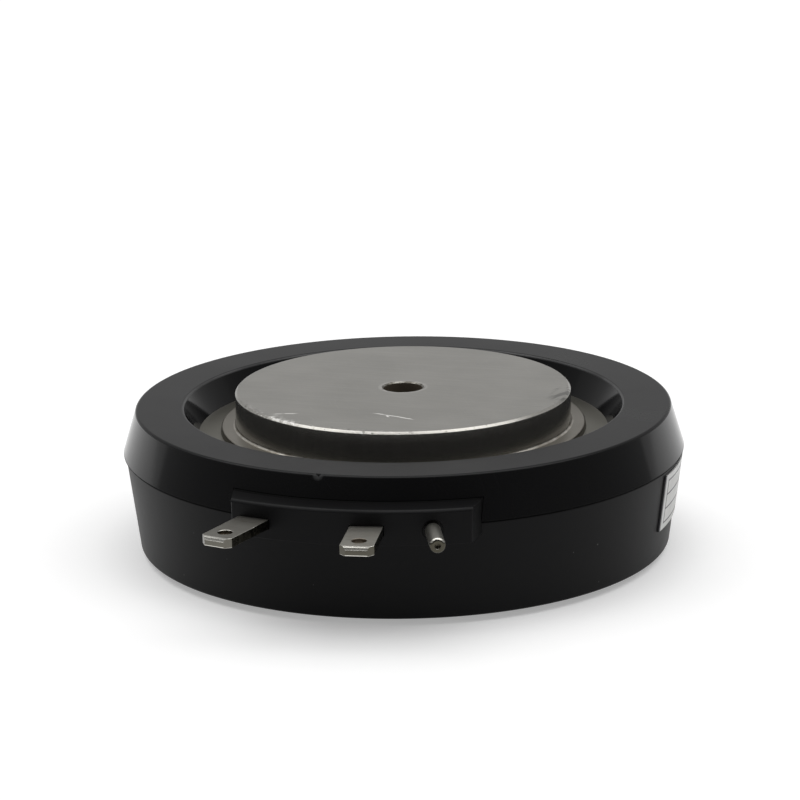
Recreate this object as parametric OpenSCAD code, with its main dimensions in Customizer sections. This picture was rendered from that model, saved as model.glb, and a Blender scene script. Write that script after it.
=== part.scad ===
// Disc thyristor in a two-part moulded housing.
// The axis of the disc is Z, the anode contact face lies on Z = 0 and the cathode contact face on top.
// The terminal block looks along -Y. A bearing is an angle from -Y, counted positive towards +X.

/* [Clamping] */
// Distance between the two contact faces
clamp_h = 14.2; // [13:0.1:18]
// How far the cathode contact face stands above the housing
cathode_stand = 1.25; // [0.6:0.05:1.5]
// How far the anode contact face stands below the housing
anode_stand = 0.55; // [0.3:0.05:1.2]

/* [Pole pieces] */
// Diameter of both contact faces
pole_d = 29.9; // [26:0.1:36]
// Edge chamfer of the contact faces
pole_edge = 0.2; // [0.1:0.05:0.6]
// Diameter of the centring holes
centring_d = 3.5; // [3:0.1:4.5]
// Depth of the centring holes
centring_depth = 2; // [1.5:0.1:2.2]
// Chamfer at the mouth of the centring holes
centring_edge = 0.12; // [0.06:0.02:0.4]

/* [Seal flanges] */
// Thickness of the flange sheet
flange_t = 0.4; // [0.3:0.05:0.6]
// Width of the raised band brazed round the pole piece
flange_step_w = 1.3; // [0.9:0.05:1.6]
// Height of the raised band above the flat of the flange
flange_step_h = 0.6; // [0.4:0.05:0.9]
// Width of the flat of the flange that stays open to view
flange_flat_w = 2; // [1.5:0.1:3]
// Radius of the braze fillet at the foot of the pole piece
braze_r = 0.25; // [0.1:0.05:0.4]
// How far the anode flange reaches in behind the housing wall
flange_rim_w = 2.2; // [1.5:0.1:2.6]

/* [Housing] */
// Depth of the two recesses round the pole pieces
recess_depth = 2.4; // [2:0.1:2.8]
// How far the recess wall opens out towards its mouth
recess_flare = 1.35; // [0.8:0.05:2]
// Width of the flat land on top of the housing
top_land_w = 4.2; // [3.6:0.1:6]
// Height of the upper ring above the seam
ring_h = 3.9; // [3.5:0.1:4.4]
// How far the upper ring widens from its land to the seam
ring_taper = 1.25; // [0.6:0.05:2]
// How far the lip of the upper ring overhangs the lower cup
lip_overhang = 0.25; // [0.1:0.05:0.5]
// How far the lower cup narrows from the seam to its foot
cup_taper = 1.4; // [0.6:0.1:2]
// Wall of the spigot on the lower cup that enters the upper ring
spigot_w = 1.7; // [1.2:0.1:2]
// Edge radius of the mouldings
mould_r = 0.3; // [0.1:0.05:0.5]
// Gap of the glued joint between the two mouldings
joint_gap = 0.05; // [0.02:0.01:0.1]

/* [Terminal block] */
// How far the block stands out from the lip of the upper ring
block_reach = 1.9; // [1:0.1:3]
// Width of the block across its front corners
block_w = 20; // [19:0.5:24]
// Draft of each side of the block
block_draft = 9; // [3:1:14]
// Height of the block above the seam
block_rise = 1.95; // [1.5:0.05:2.4]
// Depth of the block below the seam
block_drop = 1.05; // [1:0.05:1.6]

/* [Terminals] */
// Height of the terminals' centre line above the seam
terminal_rise = 0.22; // [0.15:0.01:0.3]
// Width of the flat tabs
tab_w = 2.8; // [2.4:0.1:3.2]
// Thickness of the flat tabs
tab_t = 0.8; // [0.5:0.05:0.9]
// Length of the auxiliary cathode tab in front of the block
cathode_tab_l = 5.9; // [4.5:0.1:8]
// Length of the gate tab in front of the block
gate_tab_l = 5.4; // [4.5:0.1:8]
// Diameter of the hole in each tab
tab_hole_d = 1.2; // [0.8:0.1:1.5]
// Distance of that hole from the tip of the tab
tab_hole_inset = 1.7; // [1.3:0.1:2.5]
// Corners cut off the tip of the tabs
tab_corner = 0.5; // [0.2:0.05:0.7]
// Bevel on top of the tip of the tabs
tab_bevel = 0.3; // [0.1:0.02:0.4]
// Bearing of the auxiliary cathode tab
cathode_tab_bearing = -17.3; // [-18:0.1:-12]
// Bearing of the gate tab
gate_tab_bearing = 3.4; // [0:0.1:5]
// Sideways lean of the gate tab where it was bent in handling
gate_tab_lean = -1.5; // [-6:0.5:6]
// Diameter of the round gate pin
pin_d = 1.3; // [1:0.05:1.5]
// Length of the round gate pin in front of the block
pin_l = 4.2; // [3:0.1:6]
// Length of the collar on the pin that is pressed into the block
pin_collar_l = 2.5; // [1.5:0.1:3.5]
// How far that collar stands out from the pin
pin_collar_w = 0.18; // [0.16:0.01:0.25]
// Bearing of the round gate pin
pin_bearing = 14.9; // [13:0.1:17]
// Diameter of the dimple in the end of the pin
dimple_d = 0.5; // [0.3:0.05:0.7]
// Clearance of the terminals in the block
terminal_fit = 0.04; // [0.02:0.01:0.08]

/* [Semiconductor stack] */
// Thickness of the silicon wafer
wafer_t = 0.4; // [0.3:0.05:0.6]
// How far the silicon wafer reaches out beyond the pole pieces
wafer_reach = 2.05; // [1:0.05:2.3]
// Width of the bevel round the wafer's edge
wafer_bevel = 0.35; // [0.2:0.05:0.5]
// Thickness of the molybdenum disc under the wafer
anode_disc_t = 2; // [1.5:0.1:2.4]
// Thickness of the molybdenum disc on the wafer
cathode_disc_t = 0.6; // [0.4:0.05:0.9]
// Width of the bare wafer rim outside the upper molybdenum disc
wafer_rim_w = 2.4; // [2.1:0.1:3]
// Height of the silicone coating on the wafer's rim
coating_h = 0.4; // [0.3:0.05:0.5]
// Running gap of the pieces that are only laid in
loose_gap = 0.1; // [0.05:0.01:0.15]

/* [Gate contact] */
// Diameter of the gate bore in the cathode pole piece
gate_bore_d = 5.2; // [5:0.1:6]
// Depth of the gate bore
gate_bore_depth = 3.2; // [3:0.05:3.4]
// Wall of the insulating bush
bush_wall = 0.5; // [0.4:0.05:0.6]
// Diameter of the contact pin's stem
contact_d = 1.6; // [1.2:0.1:1.8]
// Diameter of the contact pin's collar
collar_d = 3.4; // [3.2:0.1:3.6]
// Mean diameter of the gate spring
spring_d = 2.6; // [2.4:0.05:2.8]
// Wire diameter of the gate spring
spring_wire = 0.26; // [0.2:0.02:0.3]
// Pitch of the gate spring
spring_pitch = 0.34; // [0.32:0.01:0.45]
// Diameter of the bare lead wires
lead_d = 0.76; // [0.5:0.02:0.78]
// Wall of the insulating sleeve on the gate lead
sleeve_wall = 0.3; // [0.2:0.05:0.4]
// Height of the lead's centre line above the cathode disc
lead_rise = 1.25; // [1.1:0.05:1.4]
// Thickness of the strip that links the gate tab and the gate pin
link_t = 0.4; // [0.3:0.05:0.5]

/* [Label] */
// Height of the rating label
label_h = 5.1; // [3:0.1:6]
// Length of the rating label round the cup
label_l = 28; // [15:1:40]
// Bearing of the label's front edge
label_bearing = 75.5; // [50:0.5:110]
// Distance of the label below the seam
label_drop = 0.5; // [0.4:0.1:2]
// Thickness of the label
label_t = 0.15; // [0.1:0.01:0.2]
// Thickness of the glue line under the label
glue_t = 0.01; // [0.005:0.005:0.05]

/* [Handling marks] */
// Bearing of the nick in the top rim
nick_bearing = -7.2; // [-30:0.1:30]
// Width of the nick
nick_w = 0.75; // [0.3:0.05:1]

/* [Hidden] */
$fn = 128;
// Steps of an edge arc in a turned profile
arc_steps = 5;
// Overlap that fuses two volumes of one piece
weld = 0.5;

// Levels, from the anode contact face upwards
cup_foot_z = anode_stand;
land_z = clamp_h - cathode_stand;
seam_z = land_z - ring_h;
anode_flange_z = cup_foot_z + recess_depth;
cathode_flange_z = land_z - recess_depth - flange_t;
terminal_z = seam_z + terminal_rise;
cathode_pole_z = terminal_z - lead_rise;
cathode_disc_z = cathode_pole_z - cathode_disc_t;
wafer_z = cathode_disc_z - wafer_t;
anode_disc_z = wafer_z - anode_disc_t;
block_top_z = seam_z + block_rise;
block_foot_z = seam_z - block_drop;

// Radii, from the axis outwards
pole_r = pole_d / 2;
flange_step_r = pole_r + flange_step_w;
recess_foot_r = flange_step_r + flange_flat_w;
recess_mouth_r = recess_foot_r + recess_flare;
land_r = recess_mouth_r + top_land_w;
seam_r = land_r + ring_taper;
cup_top_r = seam_r - lip_overhang;
cup_foot_r = cup_top_r - cup_taper;
anode_rim_r = recess_foot_r + flange_rim_w;
cup_bore_r = anode_rim_r + loose_gap;
spigot_r = cup_bore_r + spigot_w;
socket_r = spigot_r + joint_gap;
block_r = seam_r + block_reach;
wafer_r = pole_r + wafer_reach;
cathode_disc_r = wafer_r - wafer_rim_w;
terminal_end_r = cup_bore_r - 2 * link_t;
link_r = terminal_end_r - link_t;
pin_collar_r = pin_d / 2 + pin_collar_w;
pin_collar_root_r = block_r - pin_collar_l;
gate_bore_r = gate_bore_d / 2;
bush_r = gate_bore_r - joint_gap;
sleeve_r = lead_d / 2 + joint_gap / 2 + sleeve_wall;

plastic_black = [0.09, 0.09, 0.10];
nickel = [0.66, 0.64, 0.59];
flange_nickel = [0.60, 0.57, 0.50];
tinned_brass = [0.72, 0.70, 0.64];
molybdenum = [0.48, 0.49, 0.52];
silicon_grey = [0.32, 0.34, 0.40];
silicone_red = [0.62, 0.24, 0.18];
ptfe_white = [0.93, 0.93, 0.92];
alumina_white = [0.90, 0.89, 0.85];
spring_steel = [0.55, 0.56, 0.58];
silver_wire = [0.80, 0.79, 0.76];
label_white = [0.92, 0.92, 0.91];

function unit(v) = v / norm(v);
function flat(corner) = [corner[0], corner[1]];
function wrapped(angle) = angle - 360 * round(angle / 360);

// The arc that rounds or fillets corner p between its neighbours a and b, never longer than its sides allow
function corner_arc(a, p, b, radius) =
    radius == 0 ? [p] :
    let (
        to_a = unit(a - p),
        to_b = unit(b - p),
        half = acos(to_a * to_b) / 2,
        reach = min(radius / tan(half), 0.45 * min(norm(a - p), norm(b - p))),
        r = reach * tan(half),
        centre = p + unit(to_a + to_b) * (r / sin(half)),
        from = p + to_a * reach - centre,
        to = p + to_b * reach - centre,
        start = atan2(from[1], from[0]),
        turn = wrapped(atan2(to[1], to[0]) - start)
    )
    [for (i = [0:arc_steps]) centre + r * [cos(start + turn * i / arc_steps), sin(start + turn * i / arc_steps)]];

// The outline through a list of corners [x, y, radius]
function rounded(corners) =
    let (last = len(corners) - 1)
    [for (i = [0:last]) each corner_arc(
        flat(corners[i == 0 ? last : i - 1]),
        flat(corners[i]),
        flat(corners[i == last ? 0 : i + 1]),
        corners[i][2])];

module turned(corners) {
    rotate_extrude() polygon(rounded(corners));
}

module ring(inner_r, outer_r, low_z, high_z) {
    turned([[inner_r, low_z, 0], [outer_r, low_z, 0], [outer_r, high_z, 0], [inner_r, high_z, 0]]);
}

module disc(r, low_z, high_z) {
    translate([0, 0, low_z]) cylinder(r = r, h = high_z - low_z);
}

// Turns +X of what it holds to a bearing
module at_bearing(angle) {
    rotate([0, 0, angle - 90]) children();
}

// A round bar along +X, from the axis outwards, on the terminals' centre line
module terminal_bar(r, from_r, to_r) {
    translate([from_r, 0, terminal_z]) rotate([0, 90, 0]) cylinder(r = r, h = to_r - from_r);
}

// The plan of the terminal block along +X, wider at its root by the draft, grown all round by a gap
module block_plan(gap) {
    corner_x = sqrt(pow(block_r, 2) - pow(block_w / 2, 2));
    root_x = pole_r;
    nose_x = block_r + weld;
    slope = tan(block_draft);
    root_y = block_w / 2 + (corner_x - root_x) * slope + gap;
    nose_y = block_w / 2 - (nose_x - corner_x) * slope + gap;
    polygon([[root_x, -root_y], [nose_x, -nose_y], [nose_x, nose_y], [root_x, root_y]]);
}

// Cuts a turned shape down to the width of the terminal block
module within_block(gap) {
    intersection() {
        children();
        at_bearing(0) translate([0, 0, -weld]) linear_extrude(clamp_h + 2 * weld) block_plan(gap);
    }
}

// The block stands on the cup: it fills a window in the skirt of the upper ring and clears the flange rim
module terminal_block() {
    inner_r = socket_r + joint_gap;
    within_block(0) turned([
        [spigot_r - weld, block_foot_z, 0],
        [block_r, block_foot_z, mould_r],
        [block_r, block_top_z, mould_r],
        [inner_r, block_top_z, 0],
        [inner_r, cathode_flange_z, 0],
        [spigot_r - weld, cathode_flange_z, 0]
    ]);
}

module tab_slot(bearing) {
    slot_w = tab_w + 2 * terminal_fit;
    slot_h = tab_t + 2 * terminal_fit;
    at_bearing(bearing) translate([cup_bore_r - weld, -slot_w / 2, terminal_z - slot_h / 2])
        cube([block_r - cup_bore_r + 2 * weld, slot_w, slot_h]);
}

module lower_housing_cup() {
    color(plastic_black) difference() {
        union() {
            turned([
                [recess_mouth_r, cup_foot_z, mould_r],
                [cup_foot_r, cup_foot_z, mould_r],
                [cup_top_r, seam_z, mould_r / 2],
                [spigot_r, seam_z, 0],
                [spigot_r, cathode_flange_z, 0],
                [cup_bore_r, cathode_flange_z, 0],
                [cup_bore_r, anode_flange_z, 0],
                [recess_foot_r, anode_flange_z, 0]
            ]);
            terminal_block();
        }
        tab_slot(cathode_tab_bearing);
        tab_slot(gate_tab_bearing);
        at_bearing(pin_bearing) {
            terminal_bar(pin_d / 2 + terminal_fit, cup_bore_r - weld, block_r + weld);
            terminal_bar(pin_collar_r + terminal_fit, pin_collar_root_r, block_r + weld);
        }
    }
}

module upper_housing_ring() {
    notch_depth = nick_w / 2;
    color(plastic_black) difference() {
        turned([
            [socket_r, seam_z, 0],
            [seam_r, seam_z, mould_r / 2],
            [land_r, land_z, mould_r],
            [recess_mouth_r, land_z, mould_r],
            [recess_foot_r, cathode_flange_z + flange_t, 0],
            [socket_r, cathode_flange_z + flange_t, 0]
        ]);
        within_block(joint_gap) ring(spigot_r, block_r + weld, seam_z - weld, block_top_z + joint_gap);
        at_bearing(nick_bearing) translate([land_r + notch_depth / 2, 0, land_z]) rotate([45, 0, 0])
            cube([nick_w, notch_depth, notch_depth], center = true);
    }
}

// A copper disc whose outer end is the contact face: chamfered edge and a blind centring hole
module pole_blank(thickness) {
    difference() {
        turned([
            [0, 0, 0],
            [pole_r, 0, 0],
            [pole_r, thickness - pole_edge, 0],
            [pole_r - pole_edge, thickness, 0],
            [0, thickness, 0]
        ]);
        translate([0, 0, thickness - centring_depth]) cylinder(d = centring_d, h = centring_depth + weld);
        translate([0, 0, thickness - centring_edge])
            cylinder(d1 = centring_d, d2 = centring_d + 2 * centring_edge, h = centring_edge);
    }
}

module anode_pole_piece() {
    color(nickel) translate([0, 0, anode_disc_z]) mirror([0, 0, 1]) pole_blank(anode_disc_z);
}

// The gate bore and the radial slot for the gate lead are cut into the inner end
module cathode_pole_piece() {
    slot_r = sleeve_r + loose_gap;
    color(nickel) difference() {
        translate([0, 0, cathode_pole_z]) pole_blank(clamp_h - cathode_pole_z);
        disc(gate_bore_r, cathode_pole_z - weld, cathode_pole_z + gate_bore_depth);
        at_bearing(gate_tab_bearing) {
            terminal_bar(slot_r, 0, pole_r + weld);
            translate([0, -slot_r, cathode_pole_z - weld])
                cube([pole_r + weld, 2 * slot_r, terminal_z - cathode_pole_z + weld]);
        }
    }
}

// A formed sheet ring: flat rim, step up to the raised band, braze fillet against the pole piece
module flange_blank(rim_r) {
    band_z = flange_step_h + flange_t;
    turned([
        [rim_r, 0, 0],
        [rim_r, flange_t, 0],
        [flange_step_r, flange_t, flange_t / 4],
        [flange_step_r, band_z, flange_t / 2],
        [pole_r + braze_r, band_z, 0],
        [pole_r, band_z + braze_r, 0],
        [pole_r, flange_step_h, 0],
        [flange_step_r - flange_t, flange_step_h, flange_t / 4],
        [flange_step_r - flange_t, 0, flange_t / 4]
    ]);
}

module anode_seal_flange() {
    color(flange_nickel) translate([0, 0, anode_flange_z + flange_t]) mirror([0, 0, 1]) flange_blank(anode_rim_r);
}

module cathode_seal_flange() {
    color(flange_nickel) translate([0, 0, cathode_flange_z]) flange_blank(spigot_r);
}

// Stands on the anode flange and centres the wafer stack in the cup
module wafer_locating_ring() {
    seat_z = anode_flange_z + flange_t;
    step_z = anode_disc_z - loose_gap;
    stack_r = wafer_r + 2 * loose_gap;
    color(ptfe_white) turned([
        [pole_r + 2 * loose_gap, seat_z, 0],
        [anode_rim_r, seat_z, 0],
        [anode_rim_r, cathode_disc_z, 0],
        [stack_r + loose_gap, cathode_disc_z, 0],
        [stack_r + loose_gap, step_z, 0],
        [pole_r + 2 * loose_gap, step_z, 0]
    ]);
}

module anode_molybdenum_disc() {
    color(molybdenum) disc(wafer_r, anode_disc_z, wafer_z);
}

module silicon_wafer() {
    color(silicon_grey) translate([0, 0, wafer_z])
        cylinder(r1 = wafer_r, r2 = wafer_r - wafer_bevel, h = wafer_t);
}

// Silicone run round the bevel and the bare rim of the wafer
module wafer_edge_coating() {
    bead_r = wafer_r + loose_gap;
    color(silicone_red) turned([
        [cathode_disc_r + loose_gap, cathode_disc_z, 0],
        [wafer_r - wafer_bevel, cathode_disc_z, 0],
        [wafer_r, wafer_z, 0],
        [bead_r, wafer_z, 0],
        [bead_r, cathode_disc_z + coating_h, coating_h / 2],
        [cathode_disc_r + loose_gap, cathode_disc_z + coating_h, 0]
    ]);
}

module cathode_molybdenum_disc() {
    color(molybdenum) ring(collar_d / 2, cathode_disc_r, cathode_disc_z, cathode_pole_z);
}

// The stem presses on the middle of the wafer, the collar takes the spring and the lead
module gate_contact_pin() {
    collar_low_z = terminal_z - lead_d / 2;
    collar_high_z = terminal_z + lead_d / 2;
    spigot_h = 2 * spring_wire;
    color(silver_wire) {
        disc(contact_d / 2, cathode_disc_z, collar_high_z);
        disc(collar_d / 2, collar_low_z, collar_high_z);
        disc(contact_d / 2, collar_low_z, collar_high_z + spigot_h);
    }
}

module gate_spring() {
    wire_r = spring_wire / 2;
    sides = 8;
    steps_per_turn = 18;
    low_z = terminal_z + lead_d / 2 + wire_r;
    high_z = cathode_pole_z + gate_bore_depth - bush_wall - wire_r;
    steps = floor((high_z - low_z) / spring_pitch * steps_per_turn);
    rise = (high_z - low_z) / steps;
    points = [for (i = [0:steps], k = [0:sides - 1])
        let (around = 360 * i / steps_per_turn, r = spring_d / 2 + wire_r * cos(360 * k / sides))
        [r * cos(around), r * sin(around), low_z + rise * i + wire_r * sin(360 * k / sides)]];
    skin = [for (i = [0:steps - 1], k = [0:sides - 1])
        let (a = i * sides + k, b = i * sides + (k + 1) % sides)
        [a, a + sides, b + sides, b]];
    first_end = [for (k = [0:sides - 1]) k];
    last_end = [for (k = [0:sides - 1]) steps * sides + sides - 1 - k];
    color(spring_steel) polyhedron(points, concat(skin, [first_end, last_end]), convexity = 4);
}

// A ceramic cap over the spring, with a gate cut in its side for the lead
module gate_insulating_bush() {
    top_z = cathode_pole_z + gate_bore_depth;
    inner_r = bush_r - bush_wall;
    color(alumina_white) difference() {
        disc(bush_r, cathode_pole_z, top_z);
        disc(inner_r, cathode_pole_z - weld, top_z - bush_wall);
        at_bearing(gate_tab_bearing) translate([0, -lead_d / 2 - joint_gap, cathode_pole_z - weld])
            cube([gate_bore_r + weld, lead_d + 2 * joint_gap, terminal_z + lead_d - cathode_pole_z + weld]);
    }
}

// A wire on the terminals' centre line that ends on two round walls
module lead(bearing, from_r, to_r) {
    intersection() {
        at_bearing(bearing) terminal_bar(lead_d / 2, from_r - lead_d, to_r + lead_d);
        ring(from_r, to_r, terminal_z - lead_d, terminal_z + lead_d);
    }
}

module gate_lead() {
    color(silver_wire) lead(gate_tab_bearing, collar_d / 2, link_r);
}

module gate_lead_sleeve() {
    from_r = gate_bore_r + loose_gap;
    to_r = link_r - loose_gap;
    color(ptfe_white) at_bearing(gate_tab_bearing) difference() {
        terminal_bar(sleeve_r, from_r, to_r);
        terminal_bar(sleeve_r - sleeve_wall, from_r - weld, to_r + weld);
    }
}

// Joins the inner ends of the gate tab and the round gate pin
module gate_link_strip() {
    overhang = ceil(asin(tab_w / 2 / link_r));
    sweep = pin_bearing - gate_tab_bearing + 2 * overhang;
    color(tinned_brass) at_bearing(gate_tab_bearing - overhang) rotate_extrude(angle = sweep)
        translate([link_r, terminal_z - tab_t / 2]) square([link_t, tab_t]);
}

module auxiliary_cathode_lead() {
    color(silver_wire) lead(cathode_tab_bearing, pole_r, terminal_end_r);
}

// The tab's plan along +X from the front of the block, with its tip corners cut off
module tab_plan(length) {
    half_w = tab_w / 2;
    polygon([
        [0, -half_w], [length - tab_corner, -half_w], [length, tab_corner - half_w],
        [length, half_w - tab_corner], [length - tab_corner, half_w], [0, half_w]
    ]);
}

// The tab's side view along +X, bevelled at its tip, less below than above
module tab_side(length) {
    half_t = tab_t / 2;
    under = tab_bevel / 3;
    polygon([
        [0, -half_t], [length - under, -half_t], [length, under - half_t],
        [length, half_t - tab_bevel], [length - tab_bevel, half_t], [0, half_t]
    ]);
}

module tab_blade(length) {
    difference() {
        intersection() {
            translate([0, 0, -tab_t]) linear_extrude(2 * tab_t) tab_plan(length);
            rotate([90, 0, 0]) linear_extrude(2 * tab_w, center = true) tab_side(length);
        }
        translate([length - tab_hole_inset, 0, -tab_t]) cylinder(d = tab_hole_d, h = 2 * tab_t);
    }
}

// A stamped terminal: a straight shank through the wall of the cup and a blade that may lean sideways
module flat_tab(bearing, lean, length) {
    heel = tab_w / 2 * sin(abs(lean)) + terminal_fit;
    shank_l = block_r + heel - terminal_end_r;
    at_bearing(bearing) translate([0, 0, terminal_z]) {
        difference() {
            translate([terminal_end_r - weld, -tab_w / 2, -tab_t / 2]) cube([shank_l + weld, tab_w, tab_t]);
            cylinder(r = terminal_end_r, h = 2 * tab_t, center = true);
        }
        translate([block_r + heel, 0, 0]) {
            cylinder(d = tab_w, h = tab_t, center = true);
            rotate([0, 0, lean]) tab_blade(length);
        }
    }
}

module auxiliary_cathode_tab() {
    color(tinned_brass) flat_tab(cathode_tab_bearing, 0, cathode_tab_l);
}

module gate_tab() {
    color(tinned_brass) flat_tab(gate_tab_bearing, gate_tab_lean, gate_tab_l);
}

// A turned pin: its collar seats on a step in the block's bore
module round_gate_pin() {
    tip_r = block_r + pin_l;
    end_edge = pin_d / 8;
    color(tinned_brass) at_bearing(pin_bearing) difference() {
        union() {
            terminal_bar(pin_d / 2, terminal_end_r - weld, tip_r - end_edge);
            terminal_bar(pin_collar_r, pin_collar_root_r, block_r);
            translate([tip_r - end_edge, 0, terminal_z]) rotate([0, 90, 0])
                cylinder(d1 = pin_d, d2 = pin_d - 2 * end_edge, h = end_edge);
        }
        terminal_bar(dimple_d / 2, tip_r - dimple_d, tip_r + weld);
        disc(terminal_end_r, terminal_z - pin_d, terminal_z + pin_d);
    }
}

// A blank sticker wrapped on the cone of the cup
module rating_label() {
    slope = cup_taper / (seam_z - cup_foot_z);
    high_z = seam_z - label_drop;
    low_z = high_z - label_h;
    high_r = cup_top_r - label_drop * slope + glue_t;
    low_r = high_r - label_h * slope;
    sweep = label_l / high_r * 180 / PI;
    color(label_white) at_bearing(label_bearing) rotate_extrude(angle = sweep) polygon([
        [low_r, low_z], [low_r + label_t, low_z], [high_r + label_t, high_z], [high_r, high_z]
    ]);
}

lower_housing_cup();
anode_pole_piece();
anode_seal_flange();
wafer_locating_ring();
anode_molybdenum_disc();
silicon_wafer();
wafer_edge_coating();
cathode_molybdenum_disc();
gate_contact_pin();
gate_spring();
gate_insulating_bush();
cathode_pole_piece();
gate_lead();
gate_lead_sleeve();
gate_link_strip();
auxiliary_cathode_lead();
auxiliary_cathode_tab();
gate_tab();
round_gate_pin();
cathode_seal_flange();
upper_housing_ring();
rating_label();
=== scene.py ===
from math import asin, cos, pi, radians, sin, sqrt, tan

import bmesh
import bpy
from mathutils import Matrix, Vector


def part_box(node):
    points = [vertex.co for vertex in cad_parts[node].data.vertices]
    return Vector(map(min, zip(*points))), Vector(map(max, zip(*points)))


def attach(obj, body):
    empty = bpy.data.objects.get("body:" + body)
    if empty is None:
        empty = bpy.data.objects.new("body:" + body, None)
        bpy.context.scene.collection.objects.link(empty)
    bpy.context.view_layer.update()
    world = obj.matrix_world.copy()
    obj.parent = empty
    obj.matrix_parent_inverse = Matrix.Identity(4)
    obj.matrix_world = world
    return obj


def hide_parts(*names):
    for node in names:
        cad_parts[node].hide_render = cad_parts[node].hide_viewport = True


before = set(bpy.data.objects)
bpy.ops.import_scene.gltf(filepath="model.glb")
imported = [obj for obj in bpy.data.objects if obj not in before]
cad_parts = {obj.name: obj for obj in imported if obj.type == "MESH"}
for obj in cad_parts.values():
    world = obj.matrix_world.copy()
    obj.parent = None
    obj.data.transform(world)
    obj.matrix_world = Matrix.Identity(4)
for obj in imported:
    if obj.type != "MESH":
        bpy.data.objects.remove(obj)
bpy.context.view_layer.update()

# Lower housing cup
# The lower half of the housing, moulded in black mineral-filled plastic in one shot with the terminal block
# on its shoulder. Its wall tapers so that it leaves the mould. Its spigot and bore hold flanges and stack.
mm = 0.001
cup_low, cup_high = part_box("lower_housing_cup")
ring_low, ring_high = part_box("upper_housing_ring")
cathode_flange_low, cathode_flange_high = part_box("cathode_seal_flange")
anode_flange_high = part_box("anode_seal_flange")[1]
flange_t = 0.4 * mm
flange_fit = 0.1 * mm
cup_foot_z = cup_low.z
block_top_z = cup_high.z
block_r = -cup_low.y
seam_z = ring_low.z
land_z = ring_high.z
spigot_r = cathode_flange_high.x
cathode_flange_z = cathode_flange_low.z
anode_flange_z = anode_flange_high.z - flange_t
cup_foot_r = 23.72 * mm
cup_top_r = 24.8 * mm
cup_bore_r = anode_flange_high.x + flange_fit
recess_foot_r = 18.25 * mm
recess_mouth_r = 19.6 * mm
mould_r = 0.3 * mm
block_foot_z = 8.0 * mm
block_w = 20 * mm
block_draft = radians(9)
block_corner_y = -sqrt(block_r ** 2 - (block_w / 2) ** 2)
block_edge = 0.05 * mm
block_root_r = spigot_r - 0.5 * mm
block_margin = radians(6)
block_side_facing = 0.9
joint_gap = 0.05 * mm
terminal_z = 9.27 * mm
terminal_fit = 0.04 * mm
tab_w = 2.8 * mm
tab_t = 0.8 * mm
cathode_tab_bearing = radians(-17.3)
gate_tab_bearing = radians(3.4)
pin_bearing = radians(14.9)
pin_r = 0.65 * mm
pin_collar_r = 0.83 * mm
pin_collar_root_r = block_r - 2.5 * mm
overcut = 1 * mm
turn_steps = 360
block_steps = 80
corner_steps = 6
corner_limit = 0.45
edge_steps = 3
bar_sides = 64
same_place = 0.001 * mm
merge_gap = 0.0005 * mm
crease = radians(28)


def at_bearing(bearing, r, z):
    """The point at a radius and height, where a bearing counts from the terminal side (-Y) towards +X."""
    return Vector((r * sin(bearing), -r * cos(bearing), z))


def pick(piece, domain, wanted):
    """Selects the vertices, edges or faces of a piece in edit mode that pass a test."""
    bpy.ops.mesh.select_all(action="DESELECT")
    mesh = bmesh.from_edit_mesh(piece.data)
    for element in getattr(mesh, domain):
        if wanted(element):
            element.select_set(True)
    mesh.select_flush_mode()
    bmesh.update_edit_mesh(piece.data)


def draw_outline(name, corners, spot, closed=True):
    """Draws an outline by extruding a vertex. A corner is (x, z, radius), and spot gives its place."""
    bpy.ops.object.select_all(action="DESELECT")
    bpy.ops.mesh.primitive_plane_add(size=mm)
    piece = bpy.context.object
    piece.name = piece.data.name = name
    bpy.ops.object.mode_set(mode="EDIT")
    bpy.ops.mesh.select_mode(type="VERT")
    bpy.ops.mesh.merge(type="CENTER")
    places = [spot(x, z) for x, z, radius in corners]
    bpy.ops.transform.translate(value=places[0])
    for here, there in zip(places, places[1:]):
        bpy.ops.mesh.extrude_region_move(TRANSFORM_OT_translate={"value": there - here})
    if closed:
        ends = (places[0], places[-1])
        pick(piece, "verts", lambda v: min((v.co - end).length for end in ends) < same_place)
        bpy.ops.mesh.edge_face_add()
    for i, (x, z, radius) in enumerate(corners):
        if radius:
            here = places[i]
            to_last = places[i - 1] - here
            to_next = places[(i + 1) % len(places)] - here
            longest = corner_limit * min(to_last.length, to_next.length)
            reach = min(radius / tan(to_last.angle(to_next) / 2), longest)
            pick(piece, "verts", lambda v: (v.co - here).length < same_place)
            bpy.ops.mesh.bevel(offset=reach, segments=corner_steps, affect="VERTICES")
    return piece


def spin_outline(piece, axis=(0, 0, 1), centre=(0, 0, 0), sweep=2 * pi, steps=turn_steps):
    """Turns a drawn outline into a solid, closes the ends of a part turn and points its faces outwards."""
    bpy.ops.mesh.select_all(action="SELECT")
    whole = sweep == 2 * pi
    if not whole:
        bpy.ops.mesh.edge_face_add()
    bpy.ops.mesh.spin(steps=steps, angle=sweep, center=centre, axis=axis, use_auto_merge=whole)
    bpy.ops.mesh.select_all(action="SELECT")
    bpy.ops.mesh.remove_doubles(threshold=merge_gap)
    bpy.ops.mesh.normals_make_consistent(inside=False)
    bpy.ops.object.mode_set(mode="OBJECT")
    return piece


def turned(name, corners, closed=True):
    """A piece turned or moulded about the axis of the disc."""
    return spin_outline(draw_outline(name, corners, lambda x, z: Vector((x, 0, z)), closed))


def activate(piece):
    bpy.ops.object.select_all(action="DESELECT")
    piece.select_set(True)
    bpy.context.view_layer.objects.active = piece


def combine(piece, tool, operation="DIFFERENCE"):
    """Cuts a tool body out of a piece, or fuses it on, and removes the tool."""
    activate(piece)
    bpy.ops.object.modifier_add(type="BOOLEAN")
    step = piece.modifiers[-1]
    step.object = tool
    step.operation = operation
    step.solver = "EXACT"
    bpy.ops.object.modifier_apply(modifier=step.name)
    bpy.data.objects.remove(tool)


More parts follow.
